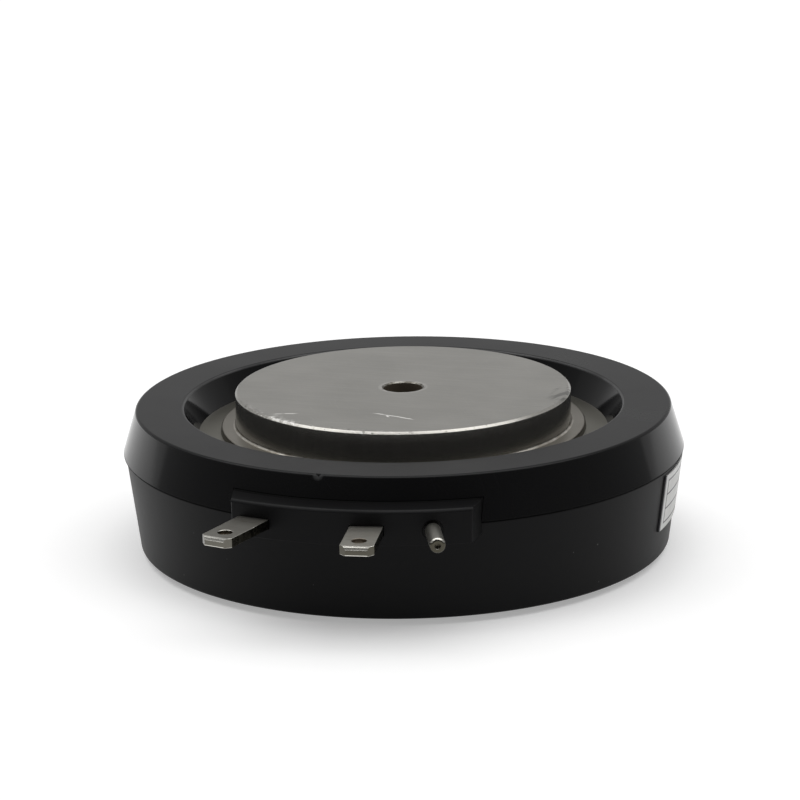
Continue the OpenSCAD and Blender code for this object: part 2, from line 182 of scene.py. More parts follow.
def cutting_box(middle, rotation, size):
    """A box to cut with, about a middle point."""
    bpy.ops.object.select_all(action="DESELECT")
    bpy.ops.mesh.primitive_cube_add(size=1, location=middle, rotation=rotation)
    box = bpy.context.object
    box.scale = size
    bpy.ops.object.transform_apply(location=True, rotation=True, scale=True)
    return box


def cutting_bar(middle, rotation, radius, length, sides=bar_sides):
    """A round bar to cut with, about a middle point."""
    bpy.ops.object.select_all(action="DESELECT")
    bpy.ops.mesh.primitive_cylinder_add(
        vertices=sides, radius=radius, depth=length, location=middle, rotation=rotation)
    bpy.ops.object.transform_apply(location=True, rotation=True, scale=True)
    return bpy.context.object


def radial_box(bearing, from_r, to_r, width, low_z, high_z):
    """A cutting box that runs outwards at a bearing."""
    middle = at_bearing(bearing, (from_r + to_r) / 2, (low_z + high_z) / 2)
    return cutting_box(middle, (0, 0, bearing), (width, to_r - from_r, high_z - low_z))


def radial_bar(bearing, from_r, to_r, radius):
    """A round cutting bar on the terminals' centre line that runs outwards at a bearing."""
    middle = at_bearing(bearing, (from_r + to_r) / 2, terminal_z)
    return cutting_bar(middle, (pi / 2, 0, bearing), radius, to_r - from_r)


def within_block(piece, gap):
    """Trims a part turn to the drafted sides of the terminal block, grown by a gap."""
    activate(piece)
    bpy.ops.object.mode_set(mode="EDIT")
    for side in (-1, 1):
        outward = Vector((side * cos(block_draft), -sin(block_draft), 0))
        corner = Vector((side * block_w / 2, block_corner_y, 0)) + gap * outward
        bpy.ops.mesh.select_all(action="SELECT")
        bpy.ops.mesh.bisect(plane_co=corner, plane_no=outward, use_fill=True, clear_outer=True)
    bpy.ops.object.mode_set(mode="OBJECT")


def block_sector(name, corners):
    """A part turn about the terminal side, a little wider than the block."""
    half = asin(block_w / 2 / spigot_r) + block_margin
    piece = draw_outline(name, corners, lambda x, z: at_bearing(half, x, z))
    return spin_outline(piece, sweep=2 * half, steps=block_steps)


def bevel_edges(piece, size, wanted):
    """Rounds the edges of a piece that pass a test."""
    activate(piece)
    bpy.ops.object.mode_set(mode="EDIT")
    bpy.ops.mesh.select_mode(type="EDGE")
    pick(piece, "edges", wanted)
    bpy.ops.mesh.bevel(offset=size, segments=edge_steps)
    bpy.ops.object.mode_set(mode="OBJECT")


def smooth_edges(piece):
    """Shades a piece smooth up to its creases, with its flats kept flat."""
    activate(piece)
    bpy.ops.object.shade_smooth_by_angle(angle=crease)
    bpy.ops.object.modifier_add(type="WEIGHTED_NORMAL")
    step = piece.modifiers[-1]
    step.keep_sharp = True
    bpy.ops.object.modifier_apply(modifier=step.name)


cup = turned("housing_cup", [
    (recess_mouth_r, cup_foot_z, mould_r),
    (cup_foot_r, cup_foot_z, mould_r),
    (cup_top_r, seam_z, mould_r / 2),
    (spigot_r, seam_z, 0),
    (spigot_r, cathode_flange_z, 0),
    (cup_bore_r, cathode_flange_z, 0),
    (cup_bore_r, anode_flange_z, 0),
    (recess_foot_r, anode_flange_z, 0),
])
block_back_r = spigot_r + 2 * joint_gap
block = block_sector("terminal_block", [
    (block_root_r, block_foot_z, 0),
    (block_r, block_foot_z, block_edge),
    (block_r, block_top_z, mould_r),
    (block_back_r, block_top_z, 0),
    (block_back_r, cathode_flange_z, 0),
    (block_root_r, cathode_flange_z, 0),
])
within_block(block, 0)
bevel_edges(block, block_edge, lambda e: any(abs(f.normal.x) > block_side_facing for f in e.link_faces)
            and min(v.co.xy.length for v in e.verts) > cup_top_r)
combine(cup, block, "UNION")
slot_w = tab_w + 2 * terminal_fit
half_slot_h = tab_t / 2 + terminal_fit
inside_r = cup_bore_r - overcut
outside_r = block_r + overcut
for bearing in (cathode_tab_bearing, gate_tab_bearing):
    combine(cup, radial_box(
        bearing, inside_r, outside_r, slot_w, terminal_z - half_slot_h, terminal_z + half_slot_h))
combine(cup, radial_bar(pin_bearing, inside_r, outside_r, pin_r + terminal_fit))
combine(cup, radial_bar(pin_bearing, pin_collar_root_r, outside_r, pin_collar_r + terminal_fit))
smooth_edges(cup)


def add_node(tree, kind, inputs=None, **settings):
    """Adds a shader node. Inputs pair a socket with a value, or with the output that feeds it."""
    node = tree.nodes.new(kind)
    for name, value in settings.items():
        setattr(node, name, value)
    for socket, value in (inputs or {}).items():
        if isinstance(value, bpy.types.NodeSocket):
            tree.links.new(value, node.inputs[socket])
        else:
            node.inputs[socket].default_value = value
    return node


def math_node(tree, operation, *values):
    return add_node(tree, "ShaderNodeMath", dict(enumerate(values)), operation=operation).outputs[0]


def product(tree, result, *others):
    """Values multiplied with each other."""
    for value in others:
        result = math_node(tree, "MULTIPLY", result, value)
    return result


def largest(tree, result, *others):
    """The largest of some values."""
    for value in others:
        result = math_node(tree, "MAXIMUM", result, value)
    return result


def less(tree, value, amount):
    """A value with an amount taken off."""
    return math_node(tree, "SUBTRACT", value, amount)


def offset(tree, value, target):
    """How far a value lies from a target, to either side."""
    return math_node(tree, "ABSOLUTE", less(tree, value, target))


def vector_measure(tree, operation, *vectors):
    """A single value from one or two vectors, such as a length or a distance."""
    node = add_node(tree, "ShaderNodeVectorMath", dict(enumerate(vectors)), operation=operation)
    return node.outputs["Value"]


def blend_values(tree, share, low, high):
    """A value that goes from low to high as share goes from 0 to 1."""
    return add_node(tree, "ShaderNodeMapRange", {"Value": share, "To Min": low, "To Max": high}).outputs[0]


def band(tree, value, start, end):
    """0 up to start, 1 from end on, and a straight change between them. Start may be the higher one."""
    limits = {"Value": value, "From Min": start, "From Max": end}
    return add_node(tree, "ShaderNodeMapRange", limits).outputs[0]


def blend_colours(tree, share, first, second):
    return add_node(tree, "ShaderNodeMix", {0: share, 6: first, 7: second}, data_type="RGBA").outputs[2]


def grain(tree, position, size, detail=2.0):
    """Even noise with features of about the given size."""
    inputs = {"Vector": position, "Scale": 1 / size, "Detail": detail}
    return add_node(tree, "ShaderNodeTexNoise", inputs).outputs[0]


def new_group(name, inputs, outputs):
    """A shader node group with its sockets, and its input and output nodes."""
    tree = bpy.data.node_groups.new(name, "ShaderNodeTree")
    for socket, kind in inputs.items():
        tree.interface.new_socket(socket, in_out="INPUT", socket_type=kind)
    for socket, kind in outputs.items():
        tree.interface.new_socket(socket, in_out="OUTPUT", socket_type=kind)
    return tree, tree.nodes.new("NodeGroupInput").outputs, tree.nodes.new("NodeGroupOutput").inputs


def place_group(tree, group, **inputs):
    """Places a shader node group in a material. Here its sockets are written small, with _ for a space."""
    sockets = {name.replace("_", " ").capitalize(): value for name, value in inputs.items()}
    return add_node(tree, "ShaderNodeGroup", sockets, node_tree=group).outputs


def new_finish(name):
    """A material with its shader and its object position, all still to be filled."""
    material = bpy.data.materials.new(name)
    material.use_nodes = True
    tree = material.node_tree
    shader = tree.nodes["Principled BSDF"]
    position = tree.nodes.new("ShaderNodeTexCoord").outputs["Object"]
    return material, tree, shader, position


def raise_surface(tree, shader, height, depth):
    """Lets a height of 0 to 1 stand out by a depth in metres."""
    bump = add_node(tree, "ShaderNodeBump", {"Height": height, "Distance": depth, "Strength": 1.0})
    tree.links.new(bump.outputs[0], shader.inputs["Normal"])


VALUE = "NodeSocketFloat"
VECTOR = "NodeSocketVector"

# Where a point lies about the axis of the disc
polar, given, result = new_group(
    "about_the_axis", {"Position": VECTOR}, {"Radius": VALUE, "Bearing": VALUE, "Height": VALUE})
axes = add_node(polar, "ShaderNodeSeparateXYZ", {0: given["Position"]}).outputs
across = add_node(polar, "ShaderNodeCombineXYZ", {0: axes[0], 1: axes[1]}).outputs[0]
towards_front = product(polar, axes[1], -1.0)
polar.links.new(vector_measure(polar, "LENGTH", across), result["Radius"])
polar.links.new(math_node(polar, "ARCTAN2", axes[0], towards_front), result["Bearing"])
polar.links.new(axes[2], result["Height"])

# Specks of dust: a small dot in some of the cells of a loose lattice
dusty_from = 0.55
dust, given, result = new_group("dust", {"Position": VECTOR, "Cell": VALUE, "Speck": VALUE}, {"Mask": VALUE})
cells = add_node(dust, "ShaderNodeTexVoronoi", {
    "Vector": given["Position"], "Scale": math_node(dust, "DIVIDE", 1.0, given["Cell"])}).outputs
chance = add_node(dust, "ShaderNodeSeparateColor", {0: cells["Color"]}).outputs[0]
speck_size = product(dust, given["Speck"], band(dust, chance, dusty_from, 1.0))
dust.links.new(math_node(dust, "LESS_THAN", cells["Distance"], speck_size), result["Mask"])

# Fine straight scratches along one direction, many or few by their share
line_level = 0.78
line_edge = 0.06
hairlines, given, result = new_group("hairlines", {
    "Position": VECTOR, "Turn": VALUE, "Length": VALUE, "Width": VALUE, "Share": VALUE}, {"Mask": VALUE})
aligned = add_node(hairlines, "ShaderNodeVectorRotate", {"Vector": given["Position"], "Angle": given["Turn"]},
                   rotation_type="Z_AXIS").outputs[0]
line_size = add_node(hairlines, "ShaderNodeCombineXYZ", {
    0: given["Length"], 1: given["Width"], 2: given["Length"]}).outputs[0]
stretched = add_node(hairlines, "ShaderNodeVectorMath", {0: aligned, 1: line_size},
                     operation="DIVIDE").outputs[0]
streaks = grain(hairlines, stretched, size=1.0, detail=1.0)
lines = less(hairlines, streaks, less(hairlines, line_level, given["Share"]))
hairlines.links.new(band(hairlines, lines, 0.0, line_edge), result["Mask"])

plastic_black = (0.0034, 0.0034, 0.0037, 1)
plastic_rubbed = (0.0085, 0.0085, 0.009, 1)
# The next colour is the nick's broken skin, and also the painted highlight along the block's upper front
# edge.
plastic_broken_and_highlight = (0.045, 0.045, 0.046, 1)
# Painted shadow: the next colour darkens a band along the seam under the ring's lip, on both halves.
seam_shade_black = (0.0015, 0.0015, 0.0015, 1)
dust_grey = (0.12, 0.12, 0.115, 1)
seam_shade_roughness = 0.95
edge_highlight_roughness = 0.5
land_band = (land_z - 0.25 * mm, land_z - 0.1 * mm)
cup_seam_shade_band = (seam_z - 0.2 * mm, seam_z - 0.14 * mm)
shell_limit_r = cup_top_r + 0.1 * mm
# The painted highlight along the block's upper front edge: its inset, band and strength.
edge_highlight_inset = 0.1 * mm
edge_highlight_band = (0.14 * mm, 0.08 * mm)
edge_highlight_strength = (0.1, 0.5)
rub_strength = 0.6
handled_strength = 0.35
dust_strength = 0.5
mould_grain = 0.16 * mm
mould_depth = 0.0007 * mm


def moulded_plastic(name, wall_roughness, land_roughness, gloss, wear_and_light):
    """Black plastic with faint rub marks and a few specks of dust, and with the marks that its last argument
    gives: broken skin, painted highlights and painted shadow.
    """
    material, tree, shader, position = new_finish(name)
    about = place_group(tree, polar, position=position)
    patches = grain(tree, position, size=9 * mm, detail=3)
    rub = place_group(
        tree, hairlines, position=position, turn=0.4, length=5 * mm, width=0.05 * mm, share=0.06)
    specks = place_group(tree, dust, position=position, cell=1.6 * mm, speck=0.05)
    rubbed_and_highlight = largest(tree, product(tree, rub[0], rub_strength), product(tree, patches, handled_strength))
    tone = blend_colours(tree, rubbed_and_highlight, plastic_black, plastic_rubbed)
    tone = blend_colours(tree, product(tree, specks[0], dust_strength), tone, dust_grey)
    on_land = band(tree, about["Height"], *land_band)
    wall_dullness = blend_values(tree, patches, wall_roughness, wall_roughness + 0.08)
    land_dullness = blend_values(tree, patches, land_roughness, land_roughness + 0.1)
    dullness = blend_values(tree, on_land, wall_dullness, land_dullness)
    for marked, colour, roughness in wear_and_light(tree, position, about):
        tone = blend_colours(tree, marked, tone, colour)
        dullness = blend_values(tree, marked, dullness, roughness)
    tree.links.new(tone, shader.inputs["Base Color"])
    tree.links.new(dullness, shader.inputs["Roughness"])
    raise_surface(tree, shader, grain(tree, position, mould_grain, detail=3), mould_depth)
    shader.inputs["Specular IOR Level"].default_value = gloss
    return material


def block_painted_light(tree, position, about):
    """A painted highlight along the block's upper front edge, patchy, and painted shadow on the cup just
    under the ring's lip.
    """
    # Painted shadow: a dark, rough band on the cup just under the ring's lip.
    on_shell = math_node(tree, "LESS_THAN", about["Radius"], shell_limit_r)
    seam_shade = product(tree, band(tree, about["Height"], *cup_seam_shade_band), on_shell)
    # Painted highlight: a paler band along the block's upper front edge, patchy in strength.
    off_front = offset(tree, about["Radius"], block_r - edge_highlight_inset)
    off_top = offset(tree, about["Height"], block_top_z - edge_highlight_inset)
    at_edge = band(tree, largest(tree, off_front, off_top), *edge_highlight_band)
    rubbed_and_highlight = product(tree, at_edge, blend_values(tree, grain(tree, position, size=4 * mm), *edge_highlight_strength))
    return [(rubbed_and_highlight, plastic_broken_and_highlight, edge_highlight_roughness), (seam_shade, seam_shade_black, seam_shade_roughness)]


def finish_piece(piece, material, node):
    """Gives a finished piece its material, and puts it in the place of its CAD node."""
    piece.data.materials.append(material)
    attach(piece, "root")
    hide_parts(node)


cup_plastic = moulded_plastic(
    "housing_plastic_cup", wall_roughness=0.40, land_roughness=0.40, gloss=0.10, wear_and_light=block_painted_light)
finish_piece(cup, cup_plastic, "lower_housing_cup")

# Anode pole piece and seal flange
# The lower contact is a turned copper disc, nickel plated, with a blind centring hole. A ring pressed from
# thin nickel-plated sheet is brazed round it and seals it to the cup.
cathode_pole_low, cathode_pole_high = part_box("cathode_pole_piece")
clamp_h = cathode_pole_high.z
pole_r = cathode_pole_high.x
anode_pole_top_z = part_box("anode_pole_piece")[1].z
pole_edge = 0.2 * mm
edge_r = 0.04 * mm
centring_r = 1.75 * mm
centring_edge = 0.12 * mm
centring_depth = 2 * mm
flange_step_r = pole_r + 1.3 * mm
flange_step_h = 0.6 * mm
braze_r = 0.25 * mm
braze_steps = 6


def pole_corners(face_z, back_z):
    """The half section of a pole piece from its contact face, which may look up or down."""
    into = 1 if back_z > face_z else -1
    return [
        (0, back_z, 0),
        (pole_r, back_z, 0),
        (pole_r, face_z + into * pole_edge, edge_r),
        (pole_r - pole_edge, face_z, edge_r),
        (centring_r + centring_edge, face_z, edge_r),
        (centring_r, face_z + into * centring_edge, edge_r),
        (centring_r, face_z + into * centring_depth, 0),
        (0, face_z + into * centring_depth, 0),
    ]


def flange_corners(rim_r, flat_z, outward):
    """The half section of a seal flange: flat rim, step to the raised band, fillet at the pole piece."""
    band_z = flange_step_h + flange_t
    turns = [radians(90 / braze_steps * step) for step in range(braze_steps + 1)]
    corners = [
        (rim_r, 0, 0),
        (rim_r, flange_t, 0),
        (flange_step_r, flange_t, flange_t / 4),
        (flange_step_r, band_z, flange_t / 2),
        *((pole_r + braze_r * (1 - sin(turn)), band_z + braze_r * (1 - cos(turn)), 0) for turn in turns),
        (pole_r, flange_step_h, 0),
        (flange_step_r - flange_t, flange_step_h, flange_t / 4),
        (flange_step_r - flange_t, 0, flange_t / 4),
    ]
    return [(x, flat_z + outward * z, radius) for x, z, radius in corners]


anode_pole = turned("anode_pole", pole_corners(0, anode_pole_top_z), closed=False)
anode_flange = turned("anode_flange", flange_corners(anode_flange_high.x, anode_flange_high.z, -1))
smooth_edges(anode_pole)
smooth_edges(anode_flange)


def spots(tree, position, size, detail, start, end):
    """Noise cut to spots: 0 up to start and 1 from end on."""
    return band(tree, grain(tree, position, size, detail), start, end)


# One scratch on an arc: how near a point is to the arc, fading out from its middle
scratch_wobble = 0.25 * mm
scratch_fade = 0.35
thinnest_scratch = 0.001 * mm
scratch, given, result = new_group("arc_scratch", {
    "Position": VECTOR, "Centre": VECTOR, "Radius": VALUE,
    "Middle": VECTOR, "Half length": VALUE, "Width": VALUE}, {"Mask": VALUE})
wander = less(scratch, grain(scratch, given["Position"], size=0.7 * mm), 0.5)
wobble = product(scratch, wander, scratch_wobble)
from_centre = vector_measure(scratch, "DISTANCE", given["Position"], given["Centre"])
off_arc = math_node(scratch, "ADD", less(scratch, from_centre, given["Radius"]), wobble)
from_middle = vector_measure(scratch, "DISTANCE", given["Position"], given["Middle"])
along = math_node(scratch, "DIVIDE", from_middle, given["Half length"])
fade = band(scratch, along, 1.0, 1.0 - scratch_fade)
half_width = math_node(scratch, "ADD", product(scratch, fade, given["Width"]), thinnest_scratch)
aside = math_node(scratch, "DIVIDE", math_node(scratch, "ABSOLUTE", off_arc), half_width)
broken = spots(scratch, given["Position"], size=0.5 * mm, detail=2, start=0.2, end=0.4)
scratch.links.new(product(scratch, band(scratch, aside, 1.0, 0.5), fade, broken), result["Mask"])

nickel_bright = (0.48, 0.465, 0.43, 1)
nickel_dull = (0.41, 0.40, 0.37, 1)
# The next colour brightens scratches and scuffs, and also paints a highlight on the front-left rim.
nickel_scuffed_and_highlight = (0.88, 0.87, 0.84, 1)
nickel_smudged = (0.19, 0.185, 0.17, 1)
hole_brown = (0.075, 0.06, 0.042, 1)
mouth_grey = (0.36, 0.35, 0.32, 1)
mouth_dark = (0.12, 0.112, 0.095, 1)
face_roughness = (0.26, 0.34)
wall_roughness = 0.2
hole_roughness = 0.6
scuff_roughness = 0.3
wall_film = 0.09
lapped_depth = 0.002 * mm
scratch_depth = 1.5
line_strength = 0.25
brush_strength = 0.5
rim_scuff_highlight_strength = 0.8
rim_chip_strength = 0.55
ring_scuff_strength = 0.45
burnish_strength = 0.26
wall_band = (pole_r - 0.04 * mm, pole_r - 0.01 * mm)
hole_band = (centring_r + 0.02 * mm, centring_r)
mouth_band = (centring_r + centring_edge + 0.04 * mm, centring_r + centring_edge)
ring_band = (centring_r + 0.32 * mm, centring_r + 0.22 * mm)
burnished_band = (centring_r + 0.5 * mm, centring_r + 0.4 * mm)
nicked_rim = (0.4 * mm, 0.3 * mm)
# Each worn stretch of the rim: how far off the rim it starts and is full, its bearing, half angle and fade
scuffed_highlight_stretch = (1.3 * mm, 0.3 * mm, radians(-37), radians(13), 0.3)
front_stretch = (0.9 * mm, 0.35 * mm, radians(-24), radians(46), 0.3)
smudged_stretch = (1.7 * mm, 0.9 * mm, radians(88), radians(11), 0.4)
# Each scratch on the upper face: centre and radius of its arc, its middle, half length and width, all in mm
face_scratches = [
    ((-8.85, -32.75), 25, (0.9, -9.75), 2.5, 0.13),
    ((-20, -19.6), 22.6, (0.5, -9.7), 0.5, 0.1),
    ((-4, -29.5), 20, (-8.6, -10.05), 1.3, 0.12),
]
nickel_plating, tree, shader, position = new_finish("nickel_plating")
about = place_group(tree, polar, position=position)
on_wall, in_hole, on_mouth, hole_ring, burnished = [
    band(tree, about["Radius"], *limits)
    for limits in (wall_band, hole_band, mouth_band, ring_band, burnished_band)]


def near_rim(start, end):
    """The edge of the face, rising from one distance off the rim to a smaller one, without the wall."""
    return less(tree, band(tree, about["Radius"], pole_r - start, pole_r - end), on_wall)


def rim_stretch(start, end, bearing, half_angle, fade):
    """A stretch of the rim about a bearing that fades out over a share of its half angle."""
    off_bearing = offset(tree, about["Bearing"], bearing)
    return product(tree, near_rim(start, end), band(tree, off_bearing, half_angle, (1 - fade) * half_angle))


cloud = grain(tree, position, size=7 * mm, detail=4)
lapped = grain(tree, position, size=0.09 * mm, detail=3)
speckled = grain(tree, position, size=0.35 * mm, detail=3)
brushed, crossed, strokes = [
    place_group(tree, hairlines, position=position, turn=turn, length=length, width=width, share=share)
    for turn, length, width, share in (
        (0.12, 6 * mm, 0.06 * mm, 0.22), (1.1, 3 * mm, 0.03 * mm, 0.08), (-1.1, 2.5 * mm, 0.3 * mm, 0.30))]
fine_lines = largest(tree, product(tree, brushed[0], brush_strength), crossed[0])
scratches = []
for (centre_x, centre_y), arc_r, (middle_x, middle_y), half_l, width in face_scratches:
    arc_centre = (centre_x * mm, centre_y * mm, clamp_h)
    arc_middle = (middle_x * mm, middle_y * mm, clamp_h)
    scratches.append(place_group(
        tree, scratch, position=position, centre=arc_centre, radius=arc_r * mm,
        middle=arc_middle, half_length=half_l * mm, width=width * mm)[0])
knocks = spots(tree, position, size=0.5 * mm, detail=4, start=0.52, end=0.6)
chips = spots(tree, position, size=0.3 * mm, detail=4, start=0.55, end=0.65)
nicks = spots(tree, position, size=0.3 * mm, detail=3, start=0.62, end=0.68)
front_rim = rim_stretch(*front_stretch)
# Real scuffs on the front-left rim, painted bright also as a highlight that carries the rim's bright edge
# further left.
rim_scuffs_and_highlight = product(tree, rim_stretch(*scuffed_highlight_stretch), knocks, rim_scuff_highlight_strength)
rim_chips = product(tree, front_rim, chips, rim_chip_strength)
ring_scuffs = product(tree, hole_ring, band(tree, speckled, 0.5, 0.6), ring_scuff_strength)
burnish = product(tree, burnished, burnish_strength)
scuffs_and_highlight = largest(tree, *scratches, rim_scuffs_and_highlight, rim_chips, ring_scuffs, burnish)
smudges = product(tree, rim_stretch(*smudged_stretch), strokes[0])
ring_dirt = product(tree, hole_ring, band(tree, speckled, 0.5, 0.38))
edge_nicks = product(tree, near_rim(*nicked_rim), nicks)
front_nicks = product(tree, front_rim, band(tree, speckled, 0.6, 0.66))
dirt = largest(tree, smudges, ring_dirt, edge_nicks, front_nicks)
marks = largest(tree, product(tree, fine_lines, line_strength), scuffs_and_highlight)
tone = blend_colours(tree, band(tree, cloud, 0.3, 0.7), nickel_bright, nickel_dull)
tone = blend_colours(tree, dirt, tone, nickel_smudged)
tone = blend_colours(tree, marks, tone, nickel_scuffed_and_highlight)
mouth_tone = blend_colours(tree, band(tree, speckled, 0.4, 0.65), mouth_dark, mouth_grey)
tone = blend_colours(tree, on_mouth, tone, mouth_tone)
tree.links.new(blend_colours(tree, in_hole, tone, hole_brown), shader.inputs["Base Color"])
dullness = blend_values(tree, on_wall, blend_values(tree, cloud, *face_roughness), wall_roughness)
dullness = math_node(tree, "ADD", dullness, product(tree, scuffs_and_highlight, scuff_roughness))
dullness = largest(tree, dullness, product(tree, in_hole, hole_roughness))
tree.links.new(dullness, shader.inputs["Roughness"])
raise_surface(tree, shader, less(tree, lapped, product(tree, marks, scratch_depth)), lapped_depth)
filmed = largest(tree, in_hole, product(tree, on_wall, wall_film))
tree.links.new(less(tree, 1.0, filmed), shader.inputs["Metallic"])
finish_piece(anode_pole, nickel_plating, "anode_pole_piece")

flange_warm = (0.34, 0.315, 0.27, 1)
flange_grey = (0.27, 0.255, 0.225, 1)
rim_warm = (0.235, 0.225, 0.188, 1)
rim_grey = (0.195, 0.186, 0.16, 1)
braze_highlight = (0.68, 0.655, 0.60, 1)
braze_dull = (0.34, 0.31, 0.26, 1)
step_band = (flange_step_r - 0.02 * mm, flange_step_r + 0.02 * mm)
braze_band = (pole_r + braze_r, pole_r + 0.8 * braze_r)
sheet_roughness = (0.26, 0.42)
drawn_depth = 0.004 * mm
flange_nickel, tree, shader, position = new_finish("flange_nickel")
about = place_group(tree, polar, position=position)
cloud = grain(tree, position, size=3 * mm, detail=4)
rings = add_node(tree, "ShaderNodeCombineXYZ", {0: about["Radius"], 2: about["Height"]}).outputs[0]
drawn = grain(tree, rings, size=0.08 * mm)
on_rim = band(tree, about["Radius"], *step_band)
on_braze = band(tree, about["Radius"], *braze_band)
sheet = blend_colours(tree, cloud, flange_warm, flange_grey)
sheet = blend_colours(tree, on_rim, sheet, blend_colours(tree, cloud, rim_warm, rim_grey))
# The braze fillet is braze metal, painted brighter also as a highlight line along the pole's foot.
run = spots(tree, position, size=1.1 * mm, detail=3, start=0.3, end=0.7)
braze_and_highlight = blend_colours(tree, run, braze_dull, braze_highlight)
tree.links.new(blend_colours(tree, on_braze, sheet, braze_and_highlight), shader.inputs["Base Color"])
tree.links.new(blend_values(tree, cloud, *sheet_roughness), shader.inputs["Roughness"])
raise_surface(tree, shader, drawn, drawn_depth)
shader.inputs["Metallic"].default_value = 1.0
finish_piece(anode_flange, flange_nickel, "anode_seal_flange")

# Wafer stack
# The working part, sealed in: a silicon wafer with a silicone-coated edge between two lapped molybdenum
# discs, centred by a white ring. The pieces are only laid in, and the clamp presses them together.
inner_roughness_range = 0.15
tool_line_depth = 0.003 * mm
mottle_depth = 0.004 * mm


def inner_finish(name, light, dark, grain_size, roughness, metal):
    """A finish inside the housing, cloudy in tone: a worked metal with fine lines, or a grainy plastic."""
    material, tree, shader, position = new_finish(name)
    cloud = grain(tree, position, size=3 * mm if metal else 2 * mm, detail=3)
    tree.links.new(blend_colours(tree, cloud, light, dark), shader.inputs["Base Color"])
    dullness = blend_values(tree, cloud, roughness, roughness + inner_roughness_range)
    tree.links.new(dullness, shader.inputs["Roughness"])
    raise_surface(tree, shader, grain(tree, position, grain_size), tool_line_depth if metal else mottle_depth)
    shader.inputs["Metallic"].default_value = 1.0 if metal else 0.0
    return material


def dress(material, *nodes):
    """Gives CAD nodes that keep their own shape a finish."""
    for node in nodes:
        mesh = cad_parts[node].data
        mesh.materials.clear()
        mesh.materials.append(material)


molybdenum = inner_finish(
    "molybdenum", light=(0.46, 0.47, 0.50, 1), dark=(0.38, 0.39, 0.41, 1),
    grain_size=0.1 * mm, roughness=0.3, metal=True)
dress(molybdenum, "anode_molybdenum_disc", "cathode_molybdenum_disc")
silicon = inner_finish(
    "silicon", light=(0.30, 0.32, 0.38, 1), dark=(0.24, 0.26, 0.33, 1),
    grain_size=0.5 * mm, roughness=0.06, metal=True)
dress(silicon, "silicon_wafer")
silicone_coating = inner_finish(
    "silicone_coating", light=(0.50, 0.18, 0.13, 1), dark=(0.40, 0.13, 0.09, 1),
    grain_size=0.4 * mm, roughness=0.25, metal=False)
dress(silicone_coating, "wafer_edge_coating")
ptfe = inner_finish(
    "ptfe", light=(0.88, 0.88, 0.86, 1), dark=(0.82, 0.82, 0.79, 1),
    grain_size=0.2 * mm, roughness=0.4, metal=False)
dress(ptfe, "wafer_locating_ring")

# Gate contact
# A silver-plated pin, pressed on the middle of the wafer by a small spring under a ceramic cap in the cathode
# pole piece. A sleeved wire in a slot of that piece leads it to a strip behind the gate tab and the pin.
silver_contact = inner_finish(
    "silver_contact", light=(0.80, 0.79, 0.75, 1), dark=(0.66, 0.63, 0.57, 1),
    grain_size=0.1 * mm, roughness=0.22, metal=True)
dress(silver_contact, "gate_contact_pin", "gate_lead", "auxiliary_cathode_lead")
spring_steel = inner_finish(
    "spring_steel", light=(0.52, 0.53, 0.55, 1), dark=(0.42, 0.43, 0.45, 1),
    grain_size=0.05 * mm, roughness=0.28, metal=True)
dress(spring_steel, "gate_spring")
alumina = inner_finish(
    "alumina", light=(0.86, 0.85, 0.81, 1), dark=(0.80, 0.79, 0.74, 1),
    grain_size=0.08 * mm, roughness=0.55, metal=False)
dress(alumina, "gate_insulating_bush")
dress(ptfe, "gate_lead_sleeve")

# Cathode pole piece and seal flange
# The upper contact, turned and plated like the lower one, with its flange brazed on. Its face is lapped flat
# and marked by clamping. Its inner end is bored for the gate contact and slotted for the gate lead.
cathode_pole_z = cathode_pole_low.z
gate_bore_r = 2.6 * mm
gate_bore_depth = 3.2 * mm
gate_bore_sides = 96
lead_slot_r = 0.805 * mm
lead_slot_end_r = pole_r + overcut
cathode_pole = turned("cathode_pole", pole_corners(clamp_h, cathode_pole_z), closed=False)
combine(cathode_pole, cutting_bar(
    (0, 0, cathode_pole_z), (0, 0, 0), gate_bore_r, 2 * gate_bore_depth, sides=gate_bore_sides))
combine(cathode_pole, radial_bar(gate_tab_bearing, 0, lead_slot_end_r, lead_slot_r))
combine(cathode_pole, radial_box(
    gate_tab_bearing, 0, lead_slot_end_r, 2 * lead_slot_r, cathode_pole_z - overcut, terminal_z))
cathode_flange = turned("cathode_flange", flange_corners(spigot_r, cathode_flange_z, 1))
smooth_edges(cathode_pole)
smooth_edges(cathode_flange)
finish_piece(cathode_pole, nickel_plating, "cathode_pole_piece")
finish_piece(cathode_flange, flange_nickel, "cathode_seal_flange")

# Tabs and round pin
# Two tabs stamped from tinned brass sheet, each with a detent hole, and a turned brass pin with a dimple in
# its end. They pass through the block to the inside. Both tabs were bent a little sideways in handling.
cathode_tab_l = 5.9 * mm
gate_tab_l = 5.4 * mm
tab_corner = 0.5 * mm
tab_bevel = 0.3 * mm
tab_bevel_steps = 2
tab_burr = 0.05 * mm
tab_hole_r = 0.6 * mm
tab_hole_inset = 1.7 * mm
hole_flare = 0.09 * mm
cathode_tab_lean = radians(-2.4)
gate_tab_lean = radians(-1.5)
terminal_end_r = 19.75 * mm
terminal_end_sides = 256
tab_root_r = terminal_end_r - 0.5 * mm
tab_cutter_h = 4 * tab_t
pin_l = 4.2 * mm
pin_edge = 0.1625 * mm
pin_round = 0.2 * mm
dimple_r = 0.25 * mm
dimple_depth = 0.5 * mm
near_gap = 0.01 * mm
sharp_edge = radians(60)
flat_facing = 0.95
wall_facing = 0.3
end_facing = 0.6


def is_level(edge):
    return abs((edge.verts[0].co - edge.verts[1].co).z) < near_gap


def mark_faces(piece, name, share):
    """Stores a value on each face, worked out from its normal and place, for the finish to use."""
    values = piece.data.attributes.new(name, "FLOAT", "FACE").data
    for face in piece.data.polygons:
        values[face.index].value = float(share(face.normal, face.center))


